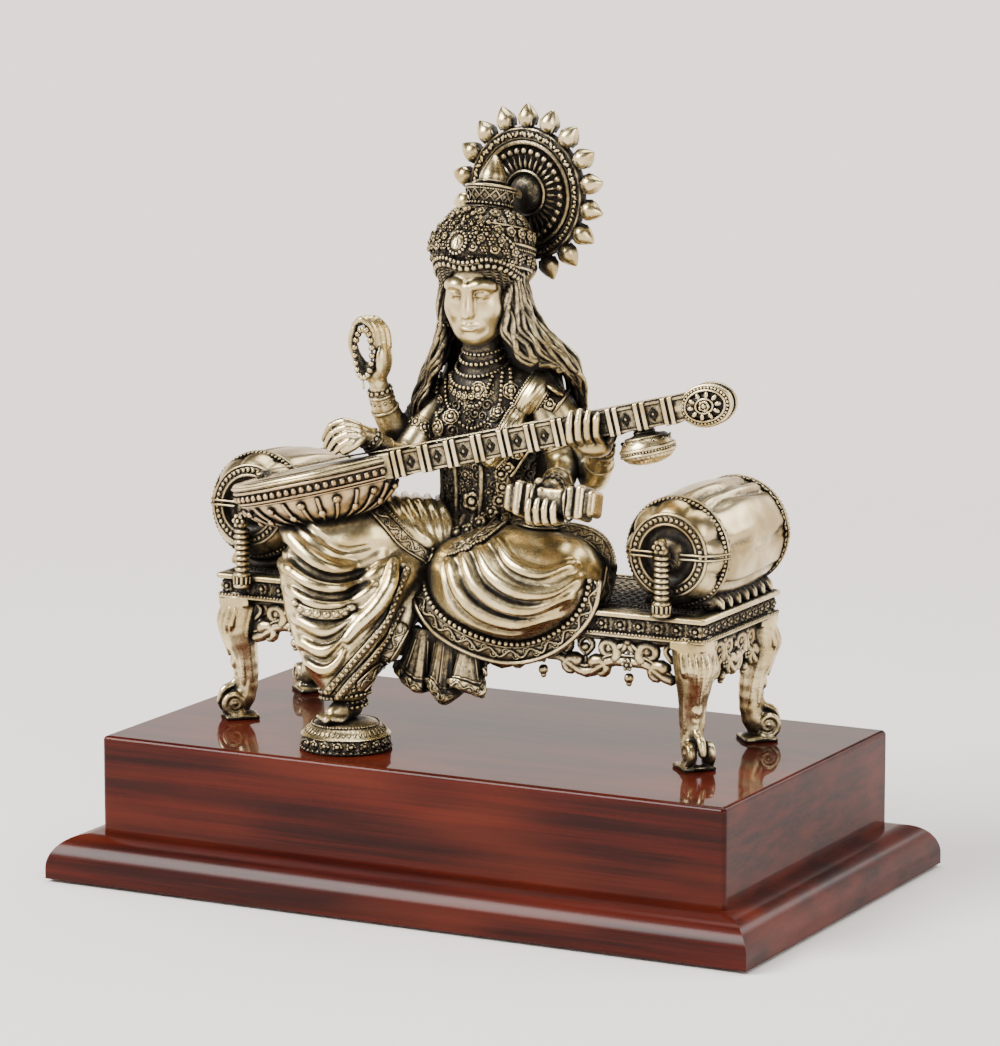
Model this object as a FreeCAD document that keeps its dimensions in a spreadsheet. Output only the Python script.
"""Cast brass goddess seated on a carved bench and playing a long lute, on a moulded wooden plinth.

Frame: millimetres, +Z up, origin at the middle of the plinth's underside. The bench's long side
runs along X, and the goddess faces -Y.
"""
import FreeCAD, Part

import math
import os

import Sketcher
from FreeCAD import Placement, Rotation, Vector

doc = FreeCAD.newDocument("SeatedGoddess")

# ---------------------------------------------------------------- driving dimensions
DIMENSIONS = {
    # plinth
    "board_length": 191.0, "board_width": 117.0, "board_height": 10.7, "board_round": 8.2,
    "block_length": 170.0, "block_width": 96.0, "block_height": 24.5, "block_round": 1.2,
    "felt_thick": 0.8, "felt_inset": 3.0,
    "screw_shank": 3.0, "screw_head": 5.6, "screw_head_height": 2.2, "screw_bite": 5.0,
    "screw_clearance": 3.4, "counterbore": 7.0, "counterbore_depth": 3.6,
    # bench
    "bench_length": 135.0, "bench_width": 45.0, "bench_top": 73.5, "bench_x": -2.5, "bench_y": 5.0,
    "slab_lip": 1.6, "frieze_height": 3.6, "slab_foot": 1.3, "frieze_inset": 1.2,
    "mat_inset": 5.5, "mat_recess": 0.6, "mat_thick": 1.0,
    "leg_inset_x": 5.0, "leg_inset_y": 5.0, "leg_splay": 2.2, "leg_foot": 4.6, "leg_ankle": 2.7,
    "leg_knee": 5.0, "apron_depth": 9.0, "apron_thick": 2.0, "apron_hole": 1.9,
    # bolsters
    "bolster_x_left": -62.0, "bolster_x_right": 54.0, "bolster_y": 8.5, "bolster_rise": 14.3,
    "bolster_drop_left": 2.2, "bolster_mid": 14.2, "bolster_rim": 12.8, "bolster_ring": 9.3,
    "bolster_half": 17.5, "bolster_dome": 6.0, "bolster_tip": 3.4,
    "tassel_length": 14.5, "tassel_core": 1.5, "tassel_bulge": 0.5, "tassel_foot": 2.3,
    # goddess
    "head_x": -5.0, "head_y": 1.0, "head_z": 145.5, "head_radius": 9.2, "head_half_height": 11.8,
    "crown_tilt": 14.0,
    "halo_x": -1.1, "halo_y": 19.0, "halo_z": 168.6, "halo_yaw": -6.0, "halo_disc": 16.6,
    "halo_thick": 2.0, "halo_tip": 22.6, "halo_rays": 18, "halo_ray_half": 2.3, "halo_boss": 5.4,
    "halo_boss_rise": 2.6, "halo_pin": 1.4,
    "stool_x": -25.0, "stool_y": -31.5, "stool_foot": 11.2, "stool_waist": 9.8, "stool_top": 8.6,
    "stool_height": 7.2,
    # lute
    "lute_x": -20.0, "lute_y": -19.5, "lute_z": 104.6, "lute_pitch": 13.7, "lute_yaw": 5.2,
    "neck_length": 80.0, "neck_height": 5.6, "neck_depth": 4.6, "fret_step": 8.0,
    "fret_proud": 0.45, "board_half_length": 20.5, "board_half_width": 11.2, "board_thick": 1.6,
    "bowl_depth": 11.4, "peg_radius": 5.2, "peg_thick": 5.6, "gourd_radius": 6.2,
    "gourd_half_height": 3.9,
}
sheet = doc.addObject("Spreadsheet::Sheet", "Dimensions")
for row, (alias, number) in enumerate(DIMENSIONS.items(), start=1):
    sheet.set(f"A{row}", alias)
    sheet.set(f"B{row}", str(number))
    sheet.setAlias(f"B{row}", alias)
doc.recompute()


def size(alias):
    """The number that the sheet holds under this alias."""
    return float(sheet.get(alias))


PLINTH_TOP = size("felt_thick") + size("board_height") + size("block_height")
SLAB_HEIGHT = size("slab_lip") + size("frieze_height") + size("slab_foot")
SLAB_BOTTOM = size("bench_top") - SLAB_HEIGHT
NODES = []


def keep(obj, label):
    """Marks a document object as a piece of its own, written under this name."""
    obj.Label = label
    NODES.append(obj)
    return obj


def feature(label, shape):
    """A piece whose shape is worked out here, for the free forms that no sketch suits."""
    obj = doc.addObject("Part::Feature", label)
    obj.Shape = shape
    return keep(obj, label)


# ---------------------------------------------------------------- sketches and bodies
def new_body(name, base=None):
    body = doc.addObject("PartDesign::Body", name)
    for axis, expression in (base or {}).items():
        body.setExpression(f"Placement.Base.{axis}", expression)
    return body


def new_sketch(body, name, role, offset=None):
    """An empty sketch on one of the body's origin planes, moved along its normal by an expression."""
    sketch = body.newObject("Sketcher::SketchObject", name)
    plane = next(f for f in body.Origin.OriginFeatures if f.Role == role)
    sketch.AttachmentSupport = [(plane, "")]
    sketch.MapMode = "FlatFace"
    if offset is not None:
        sketch.setExpression("AttachmentOffset.Base.z", offset)
    return sketch


def rectangle(body, name, width, height, offset=None, role="XY_Plane"):
    """A rectangle centred on the sketch's origin, its sides bound to two expressions."""
    sketch = new_sketch(body, name, role, offset)
    corners = [Vector(-5, -3, 0), Vector(5, -3, 0), Vector(5, 3, 0), Vector(-5, 3, 0)]
    for k in range(4):
        sketch.addGeometry(Part.LineSegment(corners[k], corners[(k + 1) % 4]), False)
    for k in range(4):
        sketch.addConstraint(Sketcher.Constraint("Coincident", k, 2, (k + 1) % 4, 1))
    for k, direction in enumerate(("Horizontal", "Vertical") * 2):
        sketch.addConstraint(Sketcher.Constraint(direction, k))
    sketch.addConstraint(Sketcher.Constraint("Symmetric", 0, 1, 2, 1, -1, 1))
    for name_, edge, expression in (("wide", 0, width), ("high", 1, height)):
        index = sketch.addConstraint(Sketcher.Constraint("Distance", edge, 6.0))
        sketch.renameConstraint(index, name_)
        sketch.setExpression(f"Constraints.{name_}", expression)
    return sketch


def circles(body, name, radius, centres, role="XY_Plane", offset=None):
    """Equal circles at the given places, their radius bound to an expression."""
    sketch = new_sketch(body, name, role, offset)
    for k, (x, y) in enumerate(centres):
        sketch.addGeometry(Part.Circle(Vector(x, y, 0), Vector(0, 0, 1), 1.0), False)
        index = sketch.addConstraint(Sketcher.Constraint("Radius", k, 1.0))
        sketch.renameConstraint(index, f"radius_{k}")
        sketch.setExpression(f"Constraints.radius_{k}", radius)
    return sketch


def outline(body, name, edges, role="XY_Plane", offset=None):
    """A sketch of ready-made lines and arcs, joined end to end."""
    sketch = new_sketch(body, name, role, offset)
    for edge in edges:
        sketch.addGeometry(edge, False)
    return sketch


def polyline(points):
    """Line segments through the points, closed at the end."""
    return [
        Part.LineSegment(Vector(*a, 0), Vector(*b, 0))
        for a, b in zip(points, points[1:] + points[:1])
    ]


def pad(body, sketch, length, name=None, reverse=False):
    extrusion = body.newObject("PartDesign::Pad", name or sketch.Name + "_pad")
    extrusion.Profile = sketch
    extrusion.setExpression("Length", length)
    extrusion.Reversed = reverse
    sketch.Visibility = False
    return extrusion


def pocket(body, sketch, depth, reverse=False):
    cut = body.newObject("PartDesign::Pocket", sketch.Name + "_pocket")
    cut.Profile = sketch
    cut.setExpression("Length", depth)
    cut.Reversed = reverse
    return cut


def revolve(body, sketch, axis="V_Axis"):
    turned = body.newObject("PartDesign::Revolution", sketch.Name + "_turned")
    turned.Profile = sketch
    turned.ReferenceAxis = (sketch, [axis])
    turned.Angle = 360.0
    return turned


def round_edges(body, base, radius, chosen):
    """Fillets the edges of the base feature that the test picks."""
    doc.recompute()
    names = [f"Edge{k + 1}" for k, e in enumerate(base.Shape.Edges) if chosen(e)]
    fillet = body.newObject("PartDesign::Fillet", base.Name + "_round")
    fillet.Base = (base, names)
    fillet.setExpression("Radius", radius)
    return fillet


# ---------------------------------------------------------------- free forms
def oval(centre, half_x, half_y, normal=Vector(0, 0, 1)):
    """An ellipse as a wire. half_x lies level, and half_y is square to it."""
    turn = Rotation(Vector(0, 0, 1), normal)
    long_way, short_way = (half_x, half_y) if half_x >= half_y else (half_y, half_x)
    curve = Part.Ellipse(Vector(0, 0, 0), long_way, short_way).toShape()
    if half_x < half_y:
        curve.rotate(Vector(0, 0, 0), Vector(0, 0, 1), 90)
    wire = Part.Wire([curve])
    wire.Placement = Placement(Vector(*centre), turn)
    return wire


def stack(sections):
    """A closed body through level ovals, each given as (x, y, z, half width, half depth)."""
    return Part.makeLoft([oval((x, y, z), a, b) for x, y, z, a, b in sections], True, False)


def limb(points, radii):
    """Tapered round bars from point to point, with a ball at each joint to match its radius."""
    joints = [Vector(*p) for p in points]
    solid = Part.makeSphere(radii[0], joints[0])
    for a, b, thick, thin in zip(joints, joints[1:], radii, radii[1:]):
        if thick == thin:
            bar = Part.makeCylinder(thick, (b - a).Length, a, b - a)
        else:
            bar = Part.makeCone(thick, thin, (b - a).Length, a, b - a)
        solid = solid.fuse([bar, Part.makeSphere(thin, b)])
    return solid


def spheroid(centre, along, half, radius):
    """An ellipse turned about an axis: it reaches half along the axis and radius across it."""
    curve = Part.Ellipse(Vector(0, 0, 0), max(half, radius), min(half, radius))
    if half > radius:
        axis, arc = Vector(1, 0, 0), curve.toShape(0, math.pi)
    else:
        axis, arc = Vector(0, 1, 0), curve.toShape(-math.pi / 2, math.pi / 2)
    chord = Part.makeLine(axis * half, axis * -half)
    solid = Part.Face(Part.Wire([arc, chord])).revolve(Vector(0, 0, 0), axis, 360)
    solid.Placement = Placement(Vector(*centre), Rotation(axis, Vector(*along)))
    return Part.makeSolid(solid) if solid.ShapeType == "Shell" else solid


def ring_at(centre, axis, major, minor):
    """A plain ring round an axis."""
    return Part.makeTorus(major, minor, Vector(*centre), Vector(*axis))


def less(shape, *others):
    """The shape without what the others fill. Splinters left by the cut are dropped."""
    tools = [getattr(other, "Shape", other) for other in others]
    for tool in tools:
        if tool.BoundBox.intersect(shape.BoundBox):
            shape = shape.cut(tool)
    solids = sorted(shape.Solids, key=lambda s: s.Volume, reverse=True)
    large = [s for s in solids if s.Volume > 0.04 * solids[0].Volume]
    return large[0] if len(large) == 1 else Part.makeCompound(large)


# ---------------------------------------------------------------- plinth
def leg_places():
    """Each leg's name, its centre at the slab, and the way that it splays."""
    half_x = size("bench_length") / 2 - size("leg_inset_x")
    half_y = size("bench_width") / 2 - size("leg_inset_y")
    for side, sx in (("left", -1), ("right", 1)):
        for end, sy in (("front", -1), ("back", 1)):
            centre = (size("bench_x") + sx * half_x, size("bench_y") + sy * half_y)
            yield f"{end}_{side}", centre, (sx, sy)


def foot_places():
    splay = size("leg_splay")
    return [(x + sx * splay, y + sy * splay) for _, (x, y), (sx, sy) in leg_places()]


def plinth_board():
    """Base board with a bold quarter round along its top edges and counterbored screw holes."""
    body = new_body("PlinthBoard", {"z": "Dimensions.felt_thick"})
    blank = pad(body, rectangle(body, "board_outline", "Dimensions.board_length",
                                "Dimensions.board_width"), "Dimensions.board_height")
    high = size("board_height")
    rounded = round_edges(body, blank, "Dimensions.board_round",
                          lambda e: all(abs(v.Z - high) < 1e-6 for v in e.Vertexes))
    holes = circles(body, "board_screw_holes", "Dimensions.screw_clearance / 2", foot_places())
    pocket(body, holes, "Dimensions.board_height", reverse=True)
    sinks = circles(body, "board_counterbores", "Dimensions.counterbore / 2", foot_places())
    body.Tip = pocket(body, sinks, "Dimensions.counterbore_depth", reverse=True)
    return keep(body, "plinth_board"), rounded


def plinth_block():
    """The upper block, with its edges just broken and four screw holes through it."""
    body = new_body("PlinthBlock", {"z": "Dimensions.felt_thick + Dimensions.board_height"})
    blank = pad(body, rectangle(body, "block_outline", "Dimensions.block_length",
                                "Dimensions.block_width"), "Dimensions.block_height")
    round_edges(body, blank, "Dimensions.block_round",
                lambda e: any(v.Z > 1e-6 for v in e.Vertexes))
    holes = circles(body, "block_screw_holes", "Dimensions.screw_clearance / 2", foot_places())
    body.Tip = pocket(body, holes, "Dimensions.block_height", reverse=True)
    keep(body, "plinth_block")


def base_felt():
    body = new_body("BaseFelt")
    pad(body, rectangle(body, "felt_outline", "Dimensions.board_length - 2 * Dimensions.felt_inset",
                        "Dimensions.board_width - 2 * Dimensions.felt_inset"),
        "Dimensions.felt_thick")
    keep(body, "base_felt")


def fixing_screws():
    """Four pan-head screws, up through the board and the block into the bench's feet."""
    seat = size("felt_thick") + size("counterbore_depth")
    end = PLINTH_TOP + size("screw_bite")
    screws = []
    for x, y in foot_places():
        shank = Part.makeCylinder(size("screw_shank") / 2, end - seat, Vector(x, y, seat))
        head_z = seat - size("screw_head_height")
        head = Part.makeCylinder(size("screw_head") / 2, size("screw_head_height"),
                                 Vector(x, y, head_z))
        slot = Part.makeBox(size("screw_head"), 0.8, 1.0,
                            Vector(x - size("screw_head") / 2, y - 0.4, head_z))
        screws.append(shank.fuse(head).removeSplitter().cut(slot))
    return feature("fixing_screws", Part.makeCompound(screws))


# ---------------------------------------------------------------- bench
def bench_seat():
    """The slab: a lip, a set-back frieze and a lower bead, with a shallow recess for the mat."""
    body = new_body("BenchSeat", {"x": "Dimensions.bench_x", "y": "Dimensions.bench_y",
                                  "z": "Dimensions.bench_top - Dimensions.slab_lip"
                                       " - Dimensions.frieze_height - Dimensions.slab_foot"})
    length, width = "Dimensions.bench_length", "Dimensions.bench_width"
    pad(body, rectangle(body, "slab_foot_outline", f"{length} - Dimensions.frieze_inset",
                        f"{width} - Dimensions.frieze_inset"), "Dimensions.slab_foot")
    pad(body, rectangle(body, "frieze_outline", f"{length} - 2 * Dimensions.frieze_inset",
                        f"{width} - 2 * Dimensions.frieze_inset", "Dimensions.slab_foot"),
        "Dimensions.frieze_height")
    pad(body, rectangle(body, "lip_outline", length, width,
                        "Dimensions.slab_foot + Dimensions.frieze_height"), "Dimensions.slab_lip")
    recess = rectangle(body, "mat_recess_outline", f"{length} - 2 * Dimensions.mat_inset",
                       f"{width} - 2 * Dimensions.mat_inset",
                       "Dimensions.slab_foot + Dimensions.frieze_height + Dimensions.slab_lip")
    body.Tip = pocket(body, recess, "Dimensions.mat_recess")
    return keep(body, "bench_seat")


def seat_mat():
    body = new_body("SeatMat", {"x": "Dimensions.bench_x", "y": "Dimensions.bench_y",
                                "z": "Dimensions.bench_top - Dimensions.mat_recess"})
    pad(body, rectangle(body, "mat_outline", "Dimensions.bench_length - 2 * Dimensions.mat_inset",
                        "Dimensions.bench_width - 2 * Dimensions.mat_inset"),
        "Dimensions.mat_thick")
    return keep(body, "seat_mat")


LEG_STATIONS = [  # share of the height, share of the splay, which radius, its multiple
    (0.00, 1.00, "leg_foot", 1.00), (0.09, 1.05, "leg_foot", 0.98), (0.21, 0.75, "leg_foot", 0.72),
    (0.34, 0.25, "leg_ankle", 1.05), (0.52, 0.15, "leg_ankle", 1.15), (0.76, 0.45, "leg_knee", 0.80),
    (1.00, 0.00, "leg_knee", 1.00),
]


def bench_leg(name, centre, splay):
    """A cabriole leg: a loft through circles that swell at the knee and again at the scrolled foot.
    A tapped hole in the foot takes the fixing screw."""
    body = new_body("Leg_" + name)
    body.Placement.Base = Vector(*centre, PLINTH_TOP)
    height = f"(Dimensions.bench_top - Dimensions.slab_lip - Dimensions.frieze_height" \
             f" - Dimensions.slab_foot - {PLINTH_TOP})"
    rings = []
    for k, (share, out, radius, multiple) in enumerate(LEG_STATIONS):
        place = (splay[0] * out * size("leg_splay"), splay[1] * out * size("leg_splay"))
        rings.append(circles(body, f"{name}_ring_{k}", f"Dimensions.{radius} * {multiple}",
                             [place], offset=f"{height} * {share}"))
    loft = body.newObject("PartDesign::AdditiveLoft", name + "_loft")
    loft.Profile = rings[0]
    loft.Sections = rings[1:]
    doc.recompute()
    foot = (splay[0] * size("leg_splay"), splay[1] * size("leg_splay"))
    tapped = circles(body, name + "_tapped", "Dimensions.screw_shank / 2", [foot])
    body.Tip = pocket(body, tapped, "Dimensions.screw_bite", reverse=True)
    keep(body, "bench_leg_" + name)


def scallops(length, lobes, depth):
    """The lower edge of an apron: equal arcs that hang between cusps, from right to left."""
    step = length / lobes
    arcs = []
    for k in range(lobes):
        right, left = length / 2 - k * step, length / 2 - (k + 1) * step
        hang = depth if k % 2 == 0 else depth * 0.7
        arcs.append(Part.Arc(Vector(right, -depth * 0.55, 0),
                             Vector((right + left) / 2, -hang, 0),
                             Vector(left, -depth * 0.55, 0)))
    return arcs


def bench_apron(label, length, lobes, centre, turn):
    """A pierced rail under the slab's edge: straight above, scalloped below, an eye in each lobe."""
    body = new_body("Apron_" + label)
    body.Placement = Placement(Vector(*centre, SLAB_BOTTOM), Rotation(Vector(0, 0, 1), turn))
    depth, half = size("apron_depth"), length / 2
    edges = [Part.LineSegment(Vector(-half, 0, 0), Vector(half, 0, 0)),
             Part.LineSegment(Vector(half, 0, 0), Vector(half, -depth * 0.55, 0))]
    edges += scallops(length, lobes, depth)
    edges.append(Part.LineSegment(Vector(-half, -depth * 0.55, 0), Vector(-half, 0, 0)))
    solid = pad(body, outline(body, label + "_outline", edges, "XZ_Plane"),
                "Dimensions.apron_thick")
    solid.Midplane = True
    step = length / lobes
    eyes = [(half - (k + 0.5) * step, -depth * 0.42) for k in range(lobes)]
    holes = pocket(body, circles(body, label + "_eyes", "Dimensions.apron_hole", eyes, "XZ_Plane"),
                   "Dimensions.apron_thick * 2")
    holes.Midplane = True
    body.Tip = holes
    keep(body, "bench_apron_" + label)


def aprons():
    inset = size("leg_inset_x") + size("leg_knee") + 0.2
    long_way = size("bench_length") - 2 * inset
    short_way = size("bench_width") - 2 * inset
    half_x = size("bench_length") / 2 - size("frieze_inset") - size("apron_thick")
    half_y = size("bench_width") / 2 - size("frieze_inset") - size("apron_thick")
    x, y = size("bench_x"), size("bench_y")
    bench_apron("front", long_way, 9, (x, y - half_y), 0)
    bench_apron("back", long_way, 9, (x, y + half_y), 0)
    bench_apron("left", short_way, 3, (x - half_x, y), 90)
    bench_apron("right", short_way, 3, (x + half_x, y), 90)


# ---------------------------------------------------------------- bolsters
def bolster_axis(side):
    """Where the bolster's middle lies, and how far its front end drops."""
    drop = size("bolster_drop_left") if side == "left" else 0.0
    height = size("bench_top") + size("bolster_rise")
    tilt = math.degrees(math.atan2(drop, size("bolster_half")))
    return Vector(size("bolster_x_" + side), size("bolster_y"), height), tilt


def bolster(side):
    """A bolster turned about its length: a bellied barrel, a stepped dome and a tip at each end."""
    body = new_body("Bolster_" + side)
    middle, tilt = bolster_axis(side)
    body.Placement = Placement(middle, Rotation(Vector(1, 0, 0), tilt))
    half, dome = size("bolster_half"), size("bolster_dome")
    mid, rim, ring, tip = (size("bolster_" + k) for k in ("mid", "rim", "ring", "tip"))

    def dome_side(end):
        return Part.Arc(Vector(rim, end * half, 0),
                        Vector((rim + ring) / 2 + 0.7, end * (half + dome * 0.62), 0),
                        Vector(ring, end * (half + dome), 0))

    far = half + dome
    edges = [
        Part.LineSegment(Vector(0, -far - 0.6, 0), Vector(tip, -far - 0.6, 0)),
        Part.LineSegment(Vector(tip, -far - 0.6, 0), Vector(tip + 0.8, -far + 1.2, 0)),
        Part.LineSegment(Vector(tip + 0.8, -far + 1.2, 0), Vector(ring - 1.6, -far + 0.4, 0)),
        Part.LineSegment(Vector(ring - 1.6, -far + 0.4, 0), Vector(ring, -far, 0)),
        dome_side(-1),
        Part.Arc(Vector(rim, -half, 0), Vector(mid, 0, 0), Vector(rim, half, 0)),
        dome_side(1),
        Part.LineSegment(Vector(ring, far, 0), Vector(ring - 1.6, far - 0.4, 0)),
        Part.LineSegment(Vector(ring - 1.6, far - 0.4, 0), Vector(tip + 0.8, far - 1.2, 0)),
        Part.LineSegment(Vector(tip + 0.8, far - 1.2, 0), Vector(tip, far + 0.6, 0)),
        Part.LineSegment(Vector(tip, far + 0.6, 0), Vector(0, far + 0.6, 0)),
        Part.LineSegment(Vector(0, far + 0.6, 0), Vector(0, -far - 0.6, 0)),
    ]
    revolve(body, outline(body, side + "_profile", edges))
    return keep(body, "bolster_" + side)


def bolster_cradle(side, cushion, slab_parts):
    """The low saddle that carries a bolster: a block hollowed to the bolster's belly."""
    middle, _ = bolster_axis(side)
    wide, long_way, high = 17.0, 2 * size("bolster_half") - 4, 4.2
    shape = Part.makeBox(wide, long_way, high,
                         Vector(middle.x - wide / 2, middle.y - long_way / 2, size("bench_top")))
    return feature("bolster_cradle_" + side, less(shape, cushion, *slab_parts))


def bolster_tassel(side, end):
    """A ringed cord that drops from the bolster's tip to the bench, turned from one profile."""
    body = new_body(f"Tassel_{side}_{end}")
    middle, tilt = bolster_axis(side)
    way = -1 if end == "front" else 1
    reach = size("bolster_half") + size("bolster_dome") + 0.6
    knot = middle + Rotation(Vector(1, 0, 0), tilt).multVec(Vector(0, way * reach, 0))
    core, bulge, foot = size("tassel_core"), size("tassel_bulge"), size("tassel_foot")
    body.Placement.Base = knot + Vector(0, way * (foot + 0.05), 0)
    rings, length = 7, size("tassel_length")
    step = length * 0.72 / rings
    edges = [Part.LineSegment(Vector(0, 2.2, 0), Vector(core, 1.4, 0)),
             Part.LineSegment(Vector(core, 1.4, 0), Vector(core, 0, 0))]
    for k in range(rings):
        top, low = -k * step, -(k + 1) * step
        edges.append(Part.Arc(Vector(core, top, 0), Vector(core + bulge, (top + low) / 2, 0),
                              Vector(core, low, 0)))
    low = -rings * step
    edges += [Part.LineSegment(Vector(core, low, 0), Vector(foot, low - 0.8, 0)),
              Part.LineSegment(Vector(foot, low - 0.8, 0), Vector(foot, -length, 0)),
              Part.LineSegment(Vector(foot, -length, 0), Vector(0, -length, 0)),
              Part.LineSegment(Vector(0, -length, 0), Vector(0, 2.2, 0))]
    revolve(body, outline(body, f"tassel_{side}_{end}_profile", edges, "XZ_Plane"))
    keep(body, f"bolster_tassel_{side}_{end}")


# ---------------------------------------------------------------- footstool
def foot_stool():
    """A round lotus stool: a wide foot, a waist and a domed top."""
    body = new_body("FootStool", {"x": "Dimensions.stool_x", "y": "Dimensions.stool_y"})
    body.Placement.Base.z = PLINTH_TOP
    foot, waist, top, high = (size("stool_" + k) for k in ("foot", "waist", "top", "height"))
    edges = polyline([(0, 0), (foot, 0), (foot, 2.6), (foot - 0.6, 3.0), (waist, 3.4),
                      (waist + 0.4, 4.2), (waist - 0.3, 5.0), (top, high - 0.9),
                      (top - 2.2, high), (0, high)])
    revolve(body, outline(body, "stool_profile", edges, "XZ_Plane"))
    return keep(body, "foot_stool")


# ---------------------------------------------------------------- halo and crown
def halo():
    """A ribbed disc with pointed rays round its rim: one ray, repeated by a polar pattern."""
    body = new_body("Halo")
    body.Placement = Placement(Vector(size("halo_x"), size("halo_y"), size("halo_z")),
                               Rotation(size("halo_yaw"), 0, 90))
    pad(body, circles(body, "halo_disc_outline", "Dimensions.halo_disc", [(0, 0)]),
        "Dimensions.halo_thick")
    base, tip, half = size("halo_disc") - 0.8, size("halo_tip"), size("halo_ray_half")
    swell = base + (tip - base) * 0.42
    edges = polyline([(-half * 0.6, base - 0.3), (half * 0.6, base - 0.3), (half, swell),
                      (0, tip), (-half, swell)])
    ray = pad(body, outline(body, "halo_ray_outline", edges), "Dimensions.halo_thick")
    doc.recompute()
    rays = body.newObject("PartDesign::PolarPattern", "halo_ray_pattern")
    rays.Originals = [ray]
    rays.Axis = (next(f for f in body.Origin.OriginFeatures if f.Role == "Z_Axis"), [""])
    rays.Angle = 360
    rays.setExpression("Occurrences", "Dimensions.halo_rays")
    body.Tip = rays
    return keep(body, "halo")


def halo_front(depth=0.0):
    """A point in front of the disc's middle, and the way that the disc faces."""
    facing = Rotation(Vector(0, 0, 1), size("halo_yaw")).multVec(Vector(0, -1, 0))
    centre = Vector(size("halo_x"), size("halo_y"), size("halo_z"))
    return centre + facing * (size("halo_thick") + depth), facing


def halo_boss():
    """The smooth dome at the disc's middle: the cap of a ball, cut at the disc's face."""
    rise, radius = size("halo_boss_rise"), size("halo_boss")
    ball = (radius**2 + rise**2) / (2 * rise)
    front, facing = halo_front()
    cap = Part.makeSphere(ball, front + facing * (rise - ball))
    block = Part.makeCylinder(ball * 1.2, ball * 3, front, facing)
    return feature("halo_boss", cap.common(block))


# ---------------------------------------------------------------- the goddess
TORSO = [  # level ovals: x, y, z, half width, half depth
    (-4.0, 4.5, 76.0, 13.0, 9.5), (-4.0, 4.0, 84.0, 13.5, 9.0), (-4.0, 3.5, 92.0, 12.2, 8.2),
    (-3.8, 3.5, 99.0, 11.0, 7.4), (-3.5, 3.2, 106.0, 12.8, 8.2), (-3.2, 2.6, 112.5, 15.2, 9.2),
    (-3.0, 3.0, 118.0, 17.4, 8.4), (-3.2, 3.6, 122.0, 16.0, 6.6), (-4.0, 3.4, 125.5, 9.5, 5.2),
    (-4.5, 2.8, 128.5, 5.4, 4.8), (-4.8, 2.2, 134.0, 4.4, 4.4), (-5.0, 1.6, 139.0, 4.4, 4.4),
]


def torso():
    return feature("torso", stack(TORSO))


def head(body):
    centre = (size("head_x"), size("head_y"), size("head_z"))
    skull = spheroid(centre, (0, 0, 1), size("head_half_height"), size("head_radius"))
    return feature("head", less(skull, body))


def crown(skull, trunk):
    """A tiered crown, turned about an axis that leans back, hollow where the head fills it."""
    body = new_body("CrownBlank")
    lean = Rotation(Vector(1, 0, 0), -size("crown_tilt"))
    body.Placement = Placement(Vector(size("head_x"), size("head_y") + 1.6, size("head_z") + 6.0),
                               lean)
    edges = polyline([(0, 0), (10.8, 0), (12.6, 5.5), (11.8, 10.5), (9.4, 11.5), (8.6, 14.0),
                      (8.8, 18.5), (6.4, 20.0), (4.2, 20.6), (4.0, 22.0), (2.4, 25.2), (0.0, 28.5)])
    revolve(body, outline(body, "crown_profile", edges, "XZ_Plane"))
    hollow = doc.addObject("Part::Cut", "CrownHollowed")
    hollow.Base = body
    hollow.Tool = skull
    return keep(hollow, "crown")


def hair(*inside):
    """The mass of hair: it hugs the back of the head and spreads over the shoulders and the back."""
    mass = stack([(-5, 5.5, 153, 10.2, 7.5), (-5, 6.5, 145, 11.2, 8.0), (-4.6, 7.5, 136, 12.5, 8.0),
                  (-4, 7.5, 128, 16.5, 7.6), (-3, 8.0, 119, 21.2, 7.0), (-3, 9.2, 108, 20.0, 5.2),
                  (-3.5, 10.5, 97, 14.0, 3.6)])
    return feature("hair", less(mass, *inside))


def halo_pin(*ends):
    """The short peg that carries the halo behind the head."""
    front, facing = halo_front(-0.2)
    peg = Part.makeCylinder(size("halo_pin"), 12.0, front, facing)
    return feature("halo_pin", less(peg, *ends))


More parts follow.
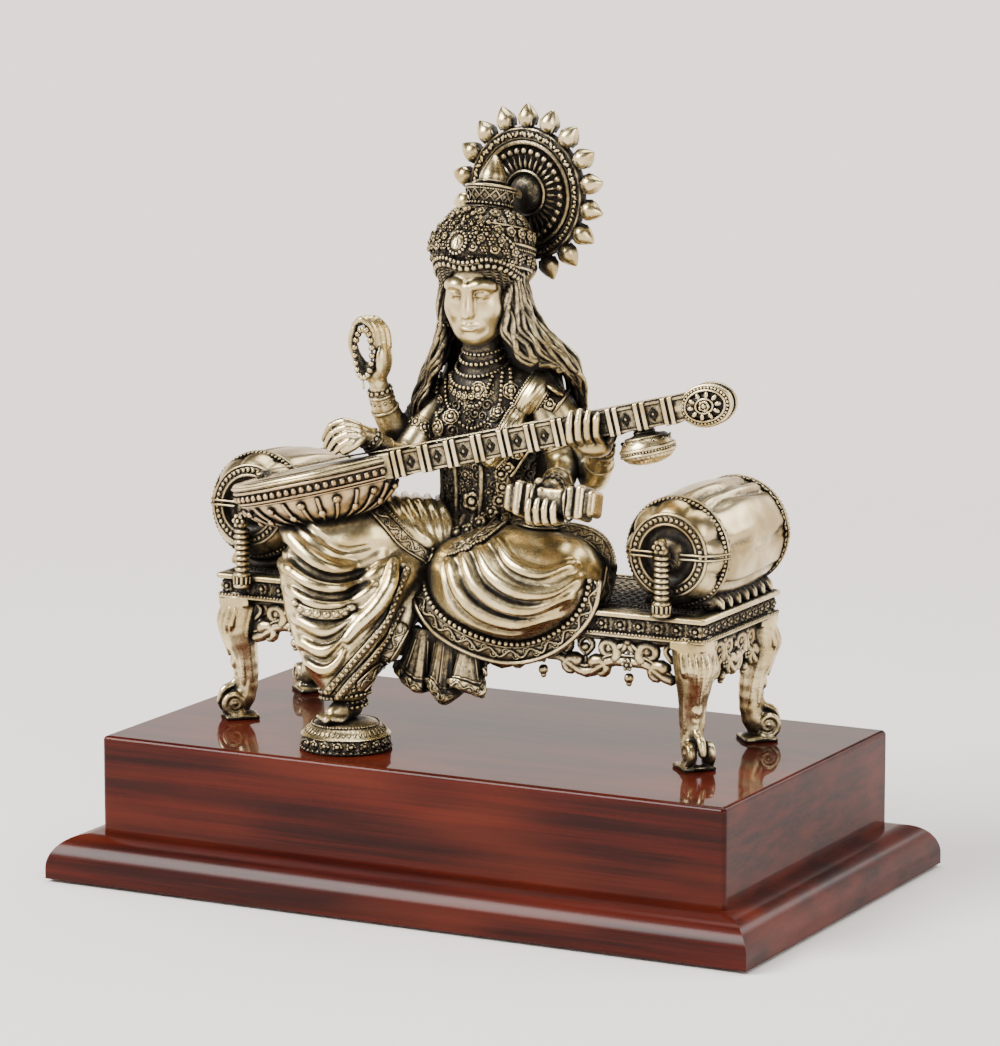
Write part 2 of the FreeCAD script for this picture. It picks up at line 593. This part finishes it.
def skirt_pieces(solids):
    """The drapery in four castings: the lap, the hanging leg, the folded leg and the hem's fan."""
    trunk, seat, mat, stool = solids
    lap = stack([(-4, 5, 74.0, 21, 14.5), (-4, 4, 79.0, 22.5, 15.5), (-4, 4, 85.0, 18, 12.5),
                 (-4, 4, 91.0, 13.2, 9.4)])
    lap_piece = feature("lap_drape", less(lap, trunk, seat, mat))
    thigh = limb([(-14, -2, 83.0), (-27, -13, 84.0), (-37.5, -22, 82.5)], (9.5, 9.8, 9.2))
    shin = limb([(-37.5, -22, 82.5), (-34.5, -25.5, 70.0), (-29.0, -29.0, 57.0),
                 (-26.0, -30.0, 52.6)], (9.2, 9.6, 7.6, 5.8))
    right = less(thigh.fuse(shin), trunk, lap_piece, seat, mat, stool)
    right_piece = feature("right_leg_drape", right)
    knee = stack([(14.5, -10.0, 66.5, 9.0, 5.0), (15.0, -10.2, 70.0, 17.5, 10.5),
                  (15.5, -9.6, 74.5, 21.5, 13.4), (15.5, -8.8, 79.5, 22.0, 13.6),
                  (15.0, -7.8, 84.5, 18.5, 12.0), (13.5, -6.8, 89.0, 10.5, 7.5)])
    left = less(knee, trunk, lap_piece, right_piece, seat, mat)
    left_piece = feature("left_leg_drape", left)
    fan = new_body("HemFan", {})
    fan.Placement.Base = Vector(-3.5, -19.9, 0)
    edges = [Part.LineSegment(Vector(-15, 52, 0), Vector(-11, 66, 0)),
             Part.LineSegment(Vector(-11, 66, 0), Vector(12, 66, 0)),
             Part.LineSegment(Vector(12, 66, 0), Vector(15.6, 56, 0))]
    starts = [(15.6, 56.0), (8.4, 52.0), (0.8, 50.0), (-7.0, 50.0), (-15.0, 52.0)]
    for (ax, az), (bx, bz) in zip(starts, starts[1:]):
        edges.append(Part.Arc(Vector(ax, az, 0), Vector((ax + bx) / 2, (az + bz) / 2 - 2.2, 0),
                              Vector(bx, bz, 0)))
    blank = pad(fan, outline(fan, "hem_fan_outline", edges, "XZ_Plane"), "2.6")
    doc.recompute()
    trimmed = less(fan.Shape, left_piece, right_piece)
    return lap_piece, right_piece, left_piece, feature("hem_fan", trimmed), blank


def foot(stool, drape):
    shape = limb([(-24.8, -29.2, 49.5), (-24.6, -29.4, 46.6), (-26.0, -34.0, 45.2),
                  (-28.3, -38.6, 44.4)], (3.0, 2.9, 2.3, 1.6))
    return feature("right_foot", less(shape, stool, drape))


ARMS = {  # shoulder, elbow and wrist of each arm, and the limb's radii there
    "raised_arm": ([(-17.5, 4.5, 118.0), (-23.5, -1.0, 111.0), (-25.6, -5.4, 111.5),
                    (-28.0, -9.2, 121.5)], (3.9, 3.4, 3.2, 2.2)),
    "plucking_arm": ([(-17.0, 1.0, 116.5), (-21.0, -6.5, 105.5), (-21.6, -10.5, 105.0),
                      (-24.8, -18.4, 110.2)], (3.8, 3.2, 3.1, 2.2)),
    "fretting_arm": ([(13.5, 4.5, 120.0), (22.5, 5.0, 105.5), (25.6, 2.2, 102.0),
                      (33.6, -8.0, 112.6)], (4.0, 3.4, 3.3, 2.3)),
    "book_arm": ([(12.0, 2.5, 117.0), (17.5, 2.0, 106.0), (19.0, -2.0, 102.5),
                  (22.0, -14.0, 102.0)], (3.8, 3.3, 3.2, 2.3)),
}


def hand(palm, facing, fingers, thumb):
    """A round flat palm with four fingers and a thumb, each a chain of joints."""
    along = Vector(*facing).normalize()
    centre, radius, half = Vector(*palm[:3]), palm[3], palm[4]
    shape = Part.makeCylinder(radius, 2 * half, centre - along * half, along)
    for path in [*fingers, thumb]:
        shape = shape.fuse(limb(path, [1.1] * len(path)))
    return shape


def fan_of_fingers(root, spread, reach, curl):
    """Four fingers side by side: their roots step along spread, and each bends from reach to curl."""
    root, spread, reach, curl = (Vector(*v) for v in (root, spread, reach, curl))
    return [[root + spread * k, root + spread * k + reach, root + spread * k + reach + curl]
            for k in (-1.5, -0.5, 0.5, 1.5)]


def hands(parts):
    raised = hand((-29.4, -10.8, 127.0, 4.3, 2.0), (0.2, 1, 0),
                  fan_of_fingers((-30.3, -11.0, 130.5), (1.9, 0.5, 0.2), (-0.7, -0.3, 4.0),
                                 (-0.1, -3.0, 1.2)),
                  [(-26.4, -11.6, 127.6), (-26.9, -13.6, 131.0), (-28.6, -14.4, 133.2)])
    feature("raised_hand", less(raised, parts["raised_arm"]))
    plucking = hand((-29.0, -20.6, 111.4, 4.0, 2.2), (0.1, 0, 1),
                    fan_of_fingers((-32.0, -21.0, 111.4), (0.3, 1.9, 0.3), (-3.4, 0, -0.3),
                                   (-2.2, -0.2, -2.6)),
                    [(-28.6, -23.6, 111.0), (-31.6, -24.8, 109.8), (-34.4, -24.4, 108.2)])
    feature("plucking_hand", less(plucking, parts["plucking_arm"], parts["veena_bowl"],
                                  parts["veena_soundboard"]))
    fretting = hand((34.6, -11.4, 115.6, 3.8, 2.2), (0.1, 1, 0.3),
                    fan_of_fingers((34.4, -14.4, 116.0), (1.9, 0.2, 0.5), (-0.2, -1.9, 1.2),
                                   (0.0, 0.2, 3.6)),
                    [(31.4, -10.6, 116.6), (30.4, -9.8, 119.6), (30.8, -10.4, 121.6)])
    feature("fretting_hand", less(fretting, parts["fretting_arm"], parts["veena_neck"],
                                  parts["veena_frets"]))
    book = hand((24.0, -19.0, 97.4, 4.6, 2.2), (0, 0, 1),
                fan_of_fingers((24.2, -22.2, 96.4), (2.1, 0.0, 0.0), (0.2, -2.6, 0.4),
                               (0.0, -0.2, 4.0)),
                [(28.8, -17.4, 98.6), (30.2, -20.4, 101.6), (29.4, -22.6, 103.6)])
    feature("book_hand", less(book, parts["book_arm"], parts["palm_leaf_book"],
                              parts["left_leg_drape"]))


def palm_leaf_book():
    """A bundle of palm leaves between boards, with rounded ends."""
    block = Part.makeBox(23.0, 7.6, 5.6, Vector(-11.5, -3.8, -2.8))
    rounded = block.makeFillet(2.2, [e for e in block.Edges
                                     if abs(e.Vertexes[0].Z - e.Vertexes[1].Z) > 1])
    rounded.Placement = Placement(Vector(25.6, -19.6, 101.0), Rotation(4, 0, -16))
    return rounded


def prayer_beads():
    """A string of touching beads in a long loop, held between finger and thumb."""
    beads = []
    count, centre = 16, Vector(-30.2, -15.6, 128.6)
    for k in range(count):
        angle = 2 * math.pi * k / count
        place = centre + Vector(2.6 * math.sin(angle), 0.6 * math.sin(angle),
                                5.6 * math.cos(angle))
        beads.append(Part.makeSphere(0.72, place))
    return feature("prayer_beads", Part.makeCompound(beads))


def garland(label, shoulders, low, front, thick, solids):
    """A flower garland: a cord of short bars that hangs in a U from the shoulders."""
    left, right = shoulders
    half, middle, top = (right - left) / 2, (left + right) / 2, 119.0
    points = []
    for k in range(-5, 6):
        share = k / 5
        rise = abs(share) ** 2.6
        points.append((middle + half * math.sin(share * math.pi / 2), front + 3.4 * rise,
                       low + (top - low) * rise))
    return feature(label, less(limb(points, [thick] * len(points)), *solids))


def shoulder_sash(trunk, garments):
    """The pleated end of the wrap: a band of cloth from the left shoulder across the chest."""
    over = stack([(x, y, z, a + 1.1, b + 1.1) for x, y, z, a, b in TORSO[2:8]])
    tilt = Rotation(Vector(0, 1, 0), -42)
    band = Part.makeBox(60, 40, 9)
    band.Placement = Placement(Vector(2.5, -17, 109) + tilt.multVec(Vector(-30, 0, -4.5)), tilt)
    return feature("shoulder_sash", less(over.common(band), trunk, *garments))


def jewellery(parts):
    """Bangles, anklet, earrings and the collar. Each kind is one node of separate rings."""
    bands = []
    for name, (points, radii) in ARMS.items():
        wrist, elbow = Vector(*points[-1]), Vector(*points[-2])
        along = (wrist - elbow).normalize()
        for back in (0.6, 2.0):
            bands.append(less(ring_at(wrist - along * back, along, radii[-1] + 0.35, 0.62),
                              parts[name]))
    feature("bangles", Part.makeCompound(bands))
    ankle = ring_at((-24.6, -29.6, 46.9), (-0.2, 0.1, 1), 4.2, 0.9)
    feature("anklet", less(ankle, parts["right_leg_drape"], parts["right_foot"],
                           parts["foot_stool"]))
    drops = []
    for way in (-1, 1):
        place = Vector(size("head_x") + way * (size("head_radius") + 0.9),
                       size("head_y") - 1.0, size("head_z") - 5.5)
        drop = Part.makeSphere(1.15, place).fuse(
            Part.makeCone(1.5, 0.35, 3.2, place + Vector(0, 0, -4.2)))
        drops.append(less(drop, parts["head"], parts["hair"]))
    feature("earrings", Part.makeCompound(drops))
    collar = ring_at((-4.4, 1.6, 126.0), (0, -0.42, 1), 6.6, 1.0)
    feature("necklace", less(collar, parts["torso"], parts["hair"]))


# ---------------------------------------------------------------- lute
def lute_placement():
    """The lute's own frame: +X along the neck, +Y away from the viewer, +Z up its front face."""
    turn = Rotation(Vector(0, 0, 1), size("lute_yaw")).multiply(
        Rotation(Vector(0, 1, 0), -size("lute_pitch")))
    return Placement(Vector(size("lute_x"), size("lute_y"), size("lute_z")), turn)


def placed(shape):
    shape.Placement = lute_placement().multiply(shape.Placement)
    return shape


def veena_pieces(lap_pieces):
    """The long lute: bowl, board, neck, frets, peg head and the small gourd under the neck."""
    half, wide, thick = size("board_half_length"), size("board_half_width"), size("board_thick")
    neck_body = new_body("VeenaNeck")
    neck_body.Placement = lute_placement()
    blank = pad(neck_body, rectangle(neck_body, "neck_section", "Dimensions.neck_depth",
                                     "Dimensions.neck_height", role="YZ_Plane"),
                "Dimensions.neck_length")
    round_edges(neck_body, blank, "0.5",
                lambda e: abs(e.Vertexes[0].X - e.Vertexes[-1].X) > 1)
    neck = keep(neck_body, "veena_neck")
    board_body = new_body("VeenaSoundboard")
    board_body.Placement = lute_placement().multiply(Placement(
        Vector(-half + 0.0, 0, size("neck_height") / 2 - thick), Rotation()))
    rim = [Part.ArcOfEllipse(Part.Ellipse(Vector(0, 0, 0), half, wide), math.pi / 2,
                             3 * math.pi / 2),
           Part.Arc(Vector(0, -wide, 0), Vector(half * 0.55, -wide * 0.78, 0),
                    Vector(half - 0.1, -size("neck_depth") / 2, 0)),
           Part.LineSegment(Vector(half - 0.1, -size("neck_depth") / 2, 0),
                            Vector(half - 0.1, size("neck_depth") / 2, 0)),
           Part.Arc(Vector(half - 0.1, size("neck_depth") / 2, 0),
                    Vector(half * 0.55, wide * 0.78, 0), Vector(0, wide, 0))]
    pad(board_body, outline(board_body, "board_rim", rim), "Dimensions.board_thick")
    board = keep(board_body, "veena_soundboard")
    bowl = spheroid((0, 0, 0), (1, 0, 0), half - 0.2, size("bowl_depth"))
    below = Part.makeBox(4 * half, 4 * wide, 30, Vector(-2 * half, -2 * wide, -30))
    bowl = bowl.common(below)
    bowl.Placement = Placement(Vector(-half, 0, size("neck_height") / 2 - thick), Rotation())
    doc.recompute()
    bowl = feature("veena_bowl", less(placed(bowl), neck, *lap_pieces))
    bars = []
    count = int((size("neck_length") - 6) // size("fret_step"))
    proud = size("fret_proud")
    for k in range(count + 1):
        for off in (0.0, 1.7):
            bar = Part.makeBox(0.9, size("neck_depth") + proud, size("neck_height") + proud,
                               Vector(3 + k * size("fret_step") + off,
                                      -size("neck_depth") / 2 - proud,
                                      -size("neck_height") / 2))
            bars.append(less(placed(bar), neck))
    frets = feature("veena_frets", Part.makeCompound(bars))
    peg = Part.makeCylinder(size("peg_radius"), size("peg_thick"), Vector(0, 0, 0),
                            Vector(0, 1, 0))
    boss = Part.makeCylinder(size("peg_radius") * 0.55, 0.8, Vector(0, -0.8, 0), Vector(0, 1, 0))
    peg = peg.fuse(boss)
    peg.Placement = Placement(Vector(size("neck_length") + size("peg_radius") - 1.2,
                                     -size("peg_thick") / 2, -0.4), Rotation())
    pegbox = feature("veena_pegbox", less(placed(peg), neck, frets))
    gourd_body = new_body("VeenaGourd")
    radius, high = size("gourd_radius"), size("gourd_half_height")
    top = -size("neck_height") / 2
    gourd_body.Placement = lute_placement().multiply(
        Placement(Vector(size("neck_length") * 0.85, 0.6, top), Rotation()))
    edges = [Part.LineSegment(Vector(0, 0, 0), Vector(1.6, 0, 0)),
             Part.LineSegment(Vector(1.6, 0, 0), Vector(1.6, -1.4, 0)),
             Part.Arc(Vector(1.6, -1.4, 0), Vector(radius, -1.4 - high, 0),
                      Vector(1.6, -1.4 - 2 * high, 0)),
             Part.LineSegment(Vector(1.6, -1.4 - 2 * high, 0), Vector(0, -1.4 - 2 * high, 0)),
             Part.LineSegment(Vector(0, -1.4 - 2 * high, 0), Vector(0, 0, 0))]
    revolve(gourd_body, outline(gourd_body, "gourd_profile", edges, "XZ_Plane"))
    keep(gourd_body, "veena_gourd")
    return {"veena_neck": neck, "veena_soundboard": board, "veena_bowl": bowl,
            "veena_frets": frets, "veena_pegbox": pegbox}


# ---------------------------------------------------------------- assembly
def build():
    plinth_board()
    plinth_block()
    base_felt()
    fixing_screws()
    seat, mat = bench_seat(), seat_mat()
    for name, centre, splay in leg_places():
        bench_leg(name, centre, splay)
    aprons()
    stool = foot_stool()
    cushions = {side: bolster(side) for side in ("left", "right")}
    halo_disc = halo()
    doc.recompute()
    for side, cushion in cushions.items():
        bolster_cradle(side, cushion, (seat, mat))
        for end in ("front", "back"):
            bolster_tassel(side, end)
    parts = {"foot_stool": stool}
    trunk = parts["torso"] = torso()
    skull = parts["head"] = head(trunk)
    crown_piece = crown(skull, trunk)
    doc.recompute()
    locks = parts["hair"] = hair(skull, trunk, crown_piece)
    dome = halo_boss()
    halo_pin(halo_disc, dome, crown_piece, locks, skull)
    lap, right, left, _, _ = skirt_pieces((trunk, seat, mat, stool))
    parts.update({"right_leg_drape": right, "left_leg_drape": left})
    parts["right_foot"] = foot(stool, right)
    parts.update(veena_pieces((trunk, right, cushions["left"])))
    for name, (points, radii) in ARMS.items():
        solids = [trunk, parts["veena_neck"], locks]
        if name == "book_arm":
            solids.append(parts["fretting_arm"])
        if name == "plucking_arm":
            solids.append(parts["raised_arm"])
        parts[name] = feature(name, less(limb(points, radii), *solids))
    book = palm_leaf_book()
    parts["palm_leaf_book"] = feature("palm_leaf_book", less(book, parts["book_arm"]))
    hands(parts)
    prayer_beads()
    arm_solids = [parts[name] for name in ARMS]
    long_one = garland("long_garland", (-13.0, 6.0), 88.0, -8.0, 1.6,
                       [trunk, lap, locks, *arm_solids])
    short_one = garland("short_garland", (-10.0, 3.0), 110.0, -8.6, 1.5,
                        [trunk, locks, long_one, *arm_solids])
    shoulder_sash(trunk, [locks, long_one, short_one, *arm_solids])
    jewellery(parts)


def write_parts():
    """Stops at any failed object or bad solid, and writes each piece's own STEP file."""
    doc.recompute()
    failed = [o.Label for o in doc.Objects if {"Invalid", "Error"} & set(o.State)]
    if failed:
        raise RuntimeError(f"failed objects: {failed}")
    os.makedirs("parts", exist_ok=True)
    for old in os.listdir("parts"):
        os.remove(os.path.join("parts", old))
    for obj in NODES:
        shape = obj.Shape
        if shape.isNull() or not shape.isValid() or not shape.Solids:
            raise RuntimeError(f"{obj.Label} has no sound solid")
        shape.exportStep(f"parts/{obj.Label}.step")
        print(f"{obj.Label}: {len(shape.Solids)} solids, {shape.Volume:.1f} mm3")
    print(len(NODES), "pieces")


build()
write_parts()
